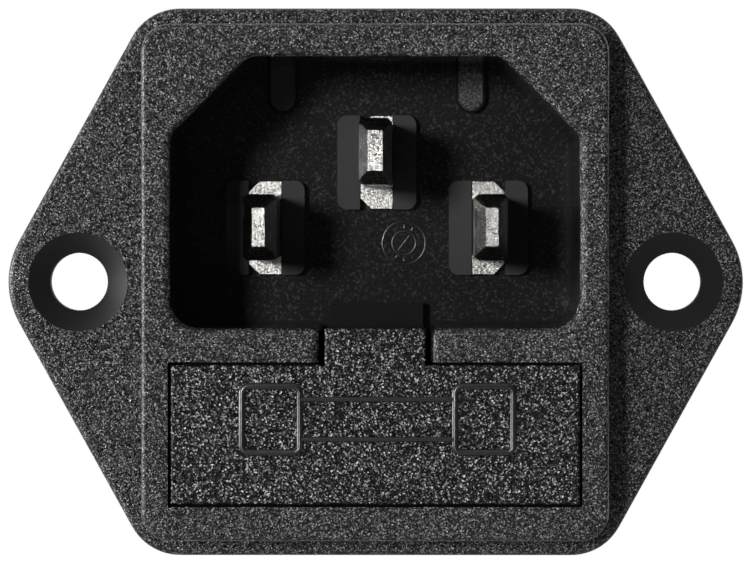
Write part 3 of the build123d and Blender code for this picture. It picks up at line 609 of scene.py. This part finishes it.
def make_piece(
    name: str, mesh: bmesh.types.BMesh, material: bpy.types.Material, body: str, crease: float = 50.0
) -> bpy.types.Object:
    """Turn a built mesh into a piece that rides on a body.

    Args:
        name: name of the piece.
        mesh: its mesh, in metres in the part's frame.
        material: its finish.
        body: body that carries it.
        crease: angle in degrees above which an edge stays sharp.

    Returns:
        The new object.
    """
    bmesh.ops.recalc_face_normals(mesh, faces=mesh.faces)
    for face in mesh.faces:
        face.smooth = True
    for edge in mesh.edges:
        edge.smooth = edge.calc_face_angle(math.pi) < math.radians(crease)
    piece = link_mesh(name, mesh)
    piece.data.materials.append(material)
    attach(piece, body)
    return piece


def bake_modifiers(obj: bpy.types.Object) -> None:
    """Make an object's mesh what its modifiers make of it.

    Args:
        obj: the object, whose modifiers are used up.
    """
    bpy.context.view_layer.update()
    graph = bpy.context.evaluated_depsgraph_get()
    shaped = bpy.data.meshes.new_from_object(
        obj.evaluated_get(graph), preserve_all_data_layers=True, depsgraph=graph
    )
    obj.modifiers.clear()
    obj.data = shaped


def add_ridge(
    mesh: bmesh.types.BMesh, path: list[Vector], closed: bool, width: float, rise: float, base_y: float
) -> None:
    """Add a raised line with a domed section, lying on a face that looks along -Y.

    Args:
        mesh: mesh that gets the ridge.
        path: points of its middle line, x and z in millimetres.
        closed: whether the line runs back to its first point.
        width: width at the foot.
        rise: height of the crown.
        base_y: depth of the foot.
    """
    profile = [(-0.5, 0.0), (-0.43, 0.42), (-0.31, 0.78), (-0.12, 0.98), (0.12, 0.98), (0.31, 0.78), (0.43, 0.42),
               (0.5, 0.0)]
    count = len(path)
    rings = []
    for i, point in enumerate(path):
        before = path[i - 1] if closed or i > 0 else point
        after = path[(i + 1) % count] if closed or i < count - 1 else point
        arrive = (point - before).normalized() if (point - before).length > 0 else (after - point).normalized()
        leave = (after - point).normalized() if (after - point).length > 0 else arrive
        run = (arrive + leave).normalized()
        side = Vector((-run.y, run.x))
        stretch = 1 / max(run.dot(leave), 0.5)
        rings.append(
            [
                mesh.verts.new(
                    (
                        (point.x + side.x * across * width * stretch) * MM,
                        (base_y - up * rise) * MM,
                        (point.y + side.y * across * width * stretch) * MM,
                    )
                )
                for across, up in profile
            ]
        )
    spans = count if closed else count - 1
    for i in range(spans):
        first, second = rings[i], rings[(i + 1) % count]
        for j in range(len(profile)):
            k = (j + 1) % len(profile)
            mesh.faces.new((first[j], first[k], second[k], second[j]))
    if not closed:
        mesh.faces.new(rings[0])
        mesh.faces.new(rings[-1])


def rounded_path(centre: Vector, width: float, height: float, radius: float, steps: int = 5) -> list[Vector]:
    """Points of a rectangle with rounded corners.

    Args:
        centre: its middle.
        width: full width.
        height: full height.
        radius: corner radius.
        steps: pieces that each corner is cut into.

    Returns:
        The points in order round the outline.
    """
    points = []
    for quarter, (sx, sz) in enumerate(((1, 1), (-1, 1), (-1, -1), (1, -1))):
        middle = centre + Vector((sx * (width / 2 - radius), sz * (height / 2 - radius)))
        for step in range(steps + 1):
            angle = math.radians(90 * quarter + 90 * step / steps)
            points.append(middle + Vector((math.cos(angle), math.sin(angle))) * radius)
    return points


# Glass-filled polyamide from a spark-eroded mould: a fine, even grain; its grey glints over black pits are painted into
# the colour
HOUSING_PLASTIC = MouldedPlastic(
    "grained_black_polyamide", pit="030303", painted_glint="767678", smooth="181819", roughness=0.3, specular=0.24,
    grain=0.075, tilt=0.58, glint_rarity=6.3, zones=Zones.INLET,
)
# The same polyamide from a coarser eroded insert: sharper facets and deeper pits, with more glints, also painted into
# the colour
DRAWER_PLASTIC = MouldedPlastic(
    "coarse_grained_black_polyamide", pit="010101", painted_glint="9E9EA0", smooth="181819", roughness=0.26, specular=0.18,
    grain=0.09, tilt=0.7, depth=0.02, glint_rarity=10.5, zones=Zones.DRAWER,
)
# Polished lines cut into the drawer's mould: the same plastic without grain, so a plain soft sheen
POLISHED_PLASTIC = MouldedPlastic(
    "polished_black_polyamide", pit="0C0C0D", painted_glint="101011", smooth="0C0C0D", roughness=0.14, specular=0.4, grain=0.3,
    tilt=0.015, depth=0.0005, edge_tilt=0.015,
)
# Nickel on brass, barrel plated: bright, with the knocks and pits that the barrel leaves on the tips
NICKEL = BrightMetal("barrel_plated_nickel", "C6C5C1", "A09E99", 0.215, Along.HEIGHT, 0.1, 0.006, pits=0.92, blotch=1.2)
# Drawn nickel-plated cups: round them run the lines of the die
CAP_NICKEL = BrightMetal("drawn_nickel_cup", "CFCBC2", "ADA79B", 0.22, Along.WIDTH, 0.12, 0.002)
# Tinned fuse wire: dull silver with drawing lines
FUSE_WIRE = BrightMetal("tinned_fuse_wire", "BFBDB6", "97948C", 0.3, Along.WIDTH, 0.05, 0.001)
# Tinned spring bronze, rolled: a warm grey with rolling lines
BRONZE = BrightMetal("tinned_spring_bronze", "C4BCA6", "A08F6A", 0.28, Along.DEPTH, 0.1, 0.002)
# Deep-drawn tinplate: soft grey mirror with long draw lines and clouded tin crystals
TINPLATE = BrightMetal("deep_drawn_tinplate", "C6C6C4", "A3A4A4", 0.26, Along.DEPTH, 0.25, 0.003, blotch=6.0)
# Stamped brass with hot tin: brighter than the can, with rolling lines along the blades
TAB_TIN = BrightMetal("tinned_brass_stamping", "D2CFC6", "B3AC98", 0.24, Along.DEPTH, 0.12, 0.002)
# Folded polyester film: milky, a little see-through, with a soft sheen
FILM = CoatedPart("milky_polyester_film", "D9DAD0", "CDCFC4", 0.35, scale=5.0, depth=0.004, clear=0.25)
# Glass-epoxy laminate with green solder mask: the cloth shows through as a fine check
LAMINATE = CoatedPart("green_glass_epoxy", "1F5A30", "2A6B3A", 0.38, scale=4.0, depth=0.006, weave=0.45)
# Powder-coated ferrite ring: thick matt epoxy with orange peel
FERRITE = CoatedPart("epoxy_coated_ferrite", "1F4A33", "28573D", 0.5, scale=0.5, depth=0.03)
# Enamelled copper wire: copper seen through amber enamel
COPPER = BrightMetal("enamelled_copper", "B4602E", "8C4218", 0.24, Along.NONE, 0.5, 0.003, blotch=3.0)
# Natural polyamide moulding: ivory, waxy, slightly uneven
NYLON = CoatedPart("natural_polyamide", "E4DFCB", "D8D2BB", 0.45, scale=2.0, depth=0.006)
# Glass-filled polyester box of a film capacitor: yellow, plain moulded gloss
CAP_BOX = CoatedPart("yellow_capacitor_box", "D8B92E", "CBAA26", 0.34, scale=3.0, depth=0.004)
# Dipped epoxy on a ceramic disc: glossy blue with dip ripples
DISC = CoatedPart("dipped_blue_epoxy", "1F5FA8", "1A5092", 0.22, scale=1.5, depth=0.03, coat=0.4)
# Lacquered film resistor: beige body under clear lacquer
LACQUER = CoatedPart("beige_resistor_lacquer", "C9AE7A", "BDA06B", 0.25, scale=0.8, depth=0.01, coat=0.3)
# Black phenolic terminal plate: fine matt skin, hardly any grain
PHENOLIC = MouldedPlastic(
    "black_phenolic_plate", pit="1C1B1A", painted_glint="3A3937", smooth="1C1B1A", roughness=0.5, specular=0.4,
    grain=0.25, tilt=0.12, depth=0.006,
)


@dataclass
class InletHousing:
    """Moulded housing with its flange, block, cavity and drawer bay, and the mould's own marks."""

    floor_y: float = 9.9
    ring_x: float = 1.7
    ring_z: float = 2.35
    ring_d: float = 2.7
    ridge_w: float = 0.16
    ridge_rise: float = 0.04
    side_angle: float = 61.0
    tip_r: float = 5.1
    shoulder_r: float = 3.3
    flange_t: float = 2.6
    edge_r: float = 0.35
    overcut: float = 1.2

    def cut_shoulder(self, mesh: bmesh.types.BMesh, side: int, up: int) -> None:
        """Add the corner block that one rounded shoulder of the flange leaves outside.

        Args:
            mesh: mesh that gets the block.
            side: 1 for the right shoulder and -1 for the left one.
            up: 1 for the upper shoulder and -1 for the lower one.
        """
        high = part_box("inlet_housing")[1]
        half_w, half_h = high[0] / MM, high[2] / MM
        slant = math.radians(self.side_angle)
        tip_x = half_w + self.tip_r * (1 / math.sin(slant) - 1)
        shoulder_x = tip_x - half_h / math.tan(slant)
        centre = Vector((shoulder_x - self.shoulder_r * math.tan(slant / 2), half_h - self.shoulder_r))
        straight = self.flange_t - self.edge_r
        levels = [(self.overcut / 4, 0.0)]
        for step in range(7):
            turn = math.radians(15 * step)
            levels.append((-straight - self.edge_r * math.sin(turn), self.edge_r * (1 - math.cos(turn))))
        levels.append((-self.flange_t - self.overcut / 4, self.edge_r))
        rings = []
        for y, inset in levels:
            angles = [math.pi / 2 - slant * step / 12 for step in range(13)]
            points = [centre + Vector((math.cos(a), math.sin(a))) * (self.shoulder_r - inset) for a in angles]
            for angle, reach in ((angles[-1], 1.0), (angles[6], 1.5), (angles[0], 1.0)):
                away = (self.shoulder_r + self.overcut) * reach
                points.append(centre + Vector((math.cos(angle), math.sin(angle))) * away)
            rings.append([mesh.verts.new((side * p.x * MM, y * MM, up * p.y * MM)) for p in points])
        for first, second in zip(rings, rings[1:]):
            for i in range(len(first)):
                mesh.faces.new((first[i - 1], first[i], second[i], second[i - 1]))
        mesh.faces.new(rings[0])
        mesh.faces.new(rings[-1])

    def build_moulding(self, frame: dict[str, Any]) -> bpy.types.Object:
        """Build the grained moulding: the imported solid, with its flange's four shoulders rounded.

        Args:
            frame: the loaded frame.

        Returns:
            The moulding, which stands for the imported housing.
        """
        solid = bmesh.new()
        solid.from_mesh(frame["nodes"]["inlet_housing"].data)
        bmesh.ops.remove_doubles(solid, verts=solid.verts, dist=1e-7)
        blank = link_mesh("housing_blank", solid)
        corners = bmesh.new()
        for side in (-1, 1):
            for up in (-1, 1):
                self.cut_shoulder(corners, side, up)
        bmesh.ops.recalc_face_normals(corners, faces=corners.faces)
        cutter = link_mesh("shoulder_cutter", corners)
        trim = blank.modifiers.new("shoulders", "BOOLEAN")
        trim.operation, trim.solver, trim.object = "DIFFERENCE", "EXACT", cutter
        bake_modifiers(blank)
        rounded = bmesh.new()
        rounded.from_mesh(blank.data)
        for spare in (blank, cutter):
            bpy.data.objects.remove(spare)
        bmesh.ops.remove_doubles(rounded, verts=rounded.verts, dist=1e-6)
        piece = make_piece(
            "housing_moulding", rounded, HOUSING_PLASTIC.build(), "inlet", crease=30.0
        )
        even = piece.modifiers.new("flat_faces_stay_flat", "WEIGHTED_NORMAL")
        even.keep_sharp = True
        bake_modifiers(piece)
        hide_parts("inlet_housing")
        return piece

    def build_mould_ring(self) -> bpy.types.Object:
        """Build the plain mould-date ring on the cavity floor: two rings, twelve ticks and a pointer.

        Returns:
            The ring as one piece.
        """
        mesh = bmesh.new()
        middle = Vector((self.ring_x, self.ring_z))
        for diameter in (self.ring_d, self.ring_d * 0.55):
            circle = rounded_path(middle, diameter, diameter, diameter / 2, 9)
            unique = [p for i, p in enumerate(circle) if (p - circle[i - 1]).length > 1e-6]
            add_ridge(mesh, unique, True, self.ridge_w, self.ridge_rise, self.floor_y)
        for tick in range(12):
            turn = Vector((math.cos(math.radians(30 * tick)), math.sin(math.radians(30 * tick))))
            ends = [middle + turn * self.ring_d * 0.34, middle + turn * self.ring_d * 0.42]
            add_ridge(mesh, ends, False, self.ridge_w * 0.8, self.ridge_rise, self.floor_y)
        tail = middle - Vector((0.35, 0.45))
        head = middle + Vector((0.35, 0.45))
        add_ridge(mesh, [tail, head], False, self.ridge_w, self.ridge_rise, self.floor_y)
        return make_piece("mould_date_ring", mesh, POLISHED_PLASTIC.build(), "inlet")


@dataclass
class FuseDrawer:
    """Pull-out drawer with its fuse symbol, two squares for the caps and two lines for the glass."""

    face_y: float = -7.1
    left_x: float = -6.2
    right_x: float = 6.5
    square_w: float = 3.46
    square_h: float = 3.94
    middle_z: float = -8.15
    line_apart: float = 2.38
    ridge_w: float = 0.4
    ridge_rise: float = 0.15
    corner_r: float = 0.4

    def dress(self, frame: dict[str, Any]) -> None:
        """Give the drawer its coarser grained plastic.

        Args:
            frame: the loaded frame.
        """
        dress(frame, ("fuse_drawer",), DRAWER_PLASTIC.build())

    def build_symbol(self) -> bpy.types.Object:
        """Build the raised fuse symbol.

        Returns:
            The symbol as one piece.
        """
        mesh = bmesh.new()
        foot = self.face_y + 0.01
        for x in (self.left_x, self.right_x):
            centre = Vector((x, self.middle_z))
            outline = rounded_path(centre, self.square_w, self.square_h, self.corner_r)
            add_ridge(mesh, outline, True, self.ridge_w, self.ridge_rise, foot)
        start = self.left_x + self.square_w / 2
        stop = self.right_x - self.square_w / 2
        for side in (-1, 1):
            z = self.middle_z + side * self.line_apart / 2
            ends = [Vector((start, z)), Vector((stop, z))]
            add_ridge(mesh, ends, False, self.ridge_w * 0.8, self.ridge_rise * 0.9, foot)
        return make_piece("fuse_symbol", mesh, POLISHED_PLASTIC.build(), "drawer")


@dataclass
class Metalwork:
    """Pins, fuses, clips, can, tabs, strap and rivet."""

    pins: tuple[str, ...] = ("line_pin", "neutral_pin", "earth_pin")
    caps: tuple[str, ...] = ("working_fuse_caps", "spare_fuse_caps")
    glass: tuple[str, ...] = ("working_fuse_glass", "spare_fuse_glass")
    wires: tuple[str, ...] = ("working_fuse_wire", "spare_fuse_wire")
    clips: tuple[str, ...] = ("fuse_clip_left", "fuse_clip_right")
    tinplate: tuple[str, ...] = ("filter_can", "earth_strap", "earth_rivet")
    tabs: tuple[str, ...] = ("line_tab", "neutral_tab", "earth_tab")

    def dress(self, frame: dict[str, Any]) -> None:
        """Give each metal and the fuses' glass its finish.

        Args:
            frame: the loaded frame.
        """
        dress(frame, self.pins, NICKEL.build())
        dress(frame, self.caps, CAP_NICKEL.build())
        dress(frame, self.glass, TubeGlass().build())
        dress(frame, self.wires, FUSE_WIRE.build())
        dress(frame, self.clips, BRONZE.build())
        dress(frame, self.tinplate, TINPLATE.build())
        dress(frame, self.tabs, TAB_TIN.build())


@dataclass
class FilterParts:
    """Board with the choke, capacitors and resistor, the sleeve round them and the terminal plate."""

    windings: tuple[str, ...] = ("choke_winding_line", "choke_winding_neutral")
    nylon: tuple[str, ...] = ("choke_holder", "choke_divider")
    discs: tuple[str, ...] = ("y_capacitor_line", "y_capacitor_neutral")

    def dress(self, frame: dict[str, Any]) -> None:
        """Give each part of the filter its finish.

        Args:
            frame: the loaded frame.
        """
        dress(frame, ("insulating_sleeve",), FILM.build())
        dress(frame, ("circuit_board",), LAMINATE.build())
        dress(frame, ("choke_core",), FERRITE.build())
        dress(frame, self.windings, COPPER.build())
        dress(frame, self.nylon, NYLON.build())
        dress(frame, ("x_capacitor",), CAP_BOX.build())
        dress(frame, self.discs, DISC.build())
        dress(frame, ("bleed_resistor",), LACQUER.build())
        dress(frame, ("terminal_plate",), PHENOLIC.build())


@dataclass
class Studio:
    """Pale floor, soft lights and a long lens square to the inlet's face."""

    camera_at: tuple[float, float, float] = (0.002, -0.3021, 0.0024)
    camera_aim: tuple[float, float, float] = (0.0, -0.0071, 0.00006)
    lens: float = 238.0
    floor_z: float = -0.042
    floor_r: float = 0.26
    key_at: tuple[float, float, float] = (-0.256, -0.87, 0.075)
    key_size: float = 0.095
    key_power: float = 7.2
    left_at: tuple[float, float, float] = (-0.388, -0.07, 0.03)
    left_size: tuple[float, float] = (0.14, 0.12)
    left_power: float = 2.8
    world_light: float = 0.08
    front_gloss: float = 0.05
    top_gloss: float = 0.5

    def build_camera(self) -> None:
        """Place the camera at the photograph's viewpoint."""
        data = bpy.data.cameras.new("camera")
        data.lens = self.lens
        data.sensor_width = 36.0
        data.clip_start = 0.01
        data.clip_end = 10.0
        camera = bpy.data.objects.new("camera", data)
        camera.location = self.camera_at
        camera.rotation_euler = (Vector(self.camera_aim) - Vector(self.camera_at)).to_track_quat("-Z", "Y").to_euler()
        bpy.context.scene.collection.objects.link(camera)
        bpy.context.scene.camera = camera

    def add_light(
        self, name: str, at: tuple[float, float, float], size: tuple[float, float], power: float
    ) -> None:
        """Add a soft light that looks at the part.

        Args:
            name: name of the light.
            at: its place in metres.
            size: its width and height.
            power: its power in watts.
        """
        data = bpy.data.lights.new(name, "AREA")
        data.shape = "RECTANGLE"
        data.size, data.size_y = size
        data.energy = power
        light = bpy.data.objects.new(name, data)
        light.location = at
        light.rotation_euler = (-Vector(at)).to_track_quat("-Z", "Y").to_euler()
        bpy.context.scene.collection.objects.link(light)

    def build_lights(self) -> None:
        """Place the key left of the lens, a small box at the far left, and wide weak lights over and behind."""
        self.add_light("key", self.key_at, (self.key_size, self.key_size), self.key_power)
        self.add_light("left", self.left_at, self.left_size, self.left_power)
        self.add_light("top", (-0.1, 0.05, 0.6), (1.0, 1.0), 1.4)
        self.add_light("rear", (0.25, 0.6, 0.25), (1.2, 1.2), 0.9)

    def build_world(self) -> None:
        """White background for the eye and glass, and for gloss too except from the dark side of the lens."""
        world = bpy.data.worlds.new("studio")
        bpy.context.scene.world = world
        world.use_nodes = True
        tree = world.node_tree
        tree.nodes.clear()
        path = add_node(tree, "ShaderNodeLightPath")
        place = add_node(tree, "ShaderNodeTexCoord")
        axes = add_node(tree, "ShaderNodeSeparateXYZ", None, {0: place.outputs["Generated"]})
        around = add_node(
            tree, "ShaderNodeMapRange", {"interpolation_type": "SMOOTHSTEP"},
            {0: axes.outputs[1], 1: -0.4, 2: 0.7, 3: self.front_gloss, 4: 1.0},
        )
        above = add_node(
            tree, "ShaderNodeMapRange", {"interpolation_type": "SMOOTHSTEP"},
            {0: axes.outputs[2], 1: 0.3, 2: 0.65, 3: 0.0, 4: self.top_gloss},
        )
        gloss = add_node(tree, "ShaderNodeMath", {"operation": "MAXIMUM"}, {0: around.outputs[0], 1: above.outputs[0]})
        mirrored = blend(tree, path.outputs["Is Glossy Ray"], self.world_light, gloss.outputs[0])
        shown = add_node(
            tree, "ShaderNodeMath", {"operation": "ADD", "use_clamp": True},
            {0: path.outputs["Is Camera Ray"], 1: path.outputs["Is Transmission Ray"]},
        )
        strength = blend(tree, shown.outputs[0], mirrored, 1.0)
        sky = add_node(
            tree, "ShaderNodeBackground", None,
            {"Color": (1.0, 1.0, 1.0, 1.0), "Strength": strength},
        )
        add_node(tree, "ShaderNodeOutputWorld", None, {"Surface": sky.outputs[0]})

    def build_floor(self) -> bpy.types.Object:
        """Build the pale round floor, which fades into the white background towards its edge.

        Returns:
            The floor.
        """
        mesh = bmesh.new()
        rim = [
            mesh.verts.new(
                (self.floor_r * math.cos(math.tau * i / 96), self.floor_r * math.sin(math.tau * i / 96), self.floor_z)
            )
            for i in range(96)
        ]
        mesh.faces.new(rim)
        data = bpy.data.meshes.new("floor")
        mesh.to_mesh(data)
        mesh.free()
        floor = bpy.data.objects.new("floor", data)
        bpy.context.scene.collection.objects.link(floor)
        material, tree, place = new_surface("pale_paper_sweep")
        across = add_node(
            tree, "ShaderNodeVectorMath", {"operation": "MULTIPLY"}, {0: place, 1: (1.0, 1.0, 0.0)}
        )
        radius = add_node(tree, "ShaderNodeVectorMath", {"operation": "LENGTH"}, {0: across.outputs[0]})
        fade = add_node(
            tree, "ShaderNodeMapRange", {"interpolation_type": "SMOOTHSTEP"},
            {0: radius.outputs["Value"], 1: 60.0, 2: self.floor_r / MM * 0.94, 3: 0.0, 4: 1.0},
        )
        fibres = add_node(tree, "ShaderNodeTexNoise", None, {"Vector": place, "Scale": 1.5, "Detail": 3.0})
        tone = blend(tree, fibres.outputs[0], linear("F1F1EF"), linear("F6F6F4"), colour=True)
        paper = add_node(
            tree, "ShaderNodeBsdfPrincipled", None, {"Base Color": tone, "Roughness": 0.9}
        )
        path = add_node(tree, "ShaderNodeLightPath")
        seen = add_node(
            tree, "ShaderNodeMath", {"operation": "ADD"},
            {0: path.outputs["Is Camera Ray"], 1: path.outputs["Is Glossy Ray"]},
        )
        shown = add_node(
            tree, "ShaderNodeMath", {"operation": "ADD", "use_clamp": True},
            {0: seen.outputs[0], 1: path.outputs["Is Transmission Ray"]},
        )
        share = add_node(
            tree, "ShaderNodeMath", {"operation": "MULTIPLY"}, {0: shown.outputs[0], 1: fade.outputs[0]}
        )
        white = add_node(
            tree, "ShaderNodeEmission", None, {"Color": (1.0, 1.0, 1.0, 1.0), "Strength": 1.0}
        )
        mix = add_node(
            tree, "ShaderNodeMixShader", None,
            {0: share.outputs[0], 1: paper.outputs["BSDF"], 2: white.outputs[0]},
        )
        close_surface(tree, mix, "Shader")
        data.materials.append(material)
        return floor

    def build(self) -> None:
        """Build the whole studio."""
        self.build_camera()
        self.build_lights()
        self.build_world()
        self.build_floor()
        bpy.context.scene.view_settings.view_transform = "Standard"


def main() -> None:
    """Load the solids, dress them, add the raised marks and set the studio."""
    logging.basicConfig(level=logging.INFO, format="%(message)s")
    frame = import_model()
    housing = InletHousing()
    LOG.info("%s and %s built", housing.build_moulding(frame).name, housing.build_mould_ring().name)
    drawer = FuseDrawer()
    drawer.dress(frame)
    LOG.info("drawer dressed, %s built", drawer.build_symbol().name)
    Metalwork().dress(frame)
    LOG.info("pins, fuses, clips, can and tabs dressed")
    FilterParts().dress(frame)
    LOG.info("board and its parts dressed")
    Studio().build()
    LOG.info("studio set")


if __name__ == "__main__":
    main()
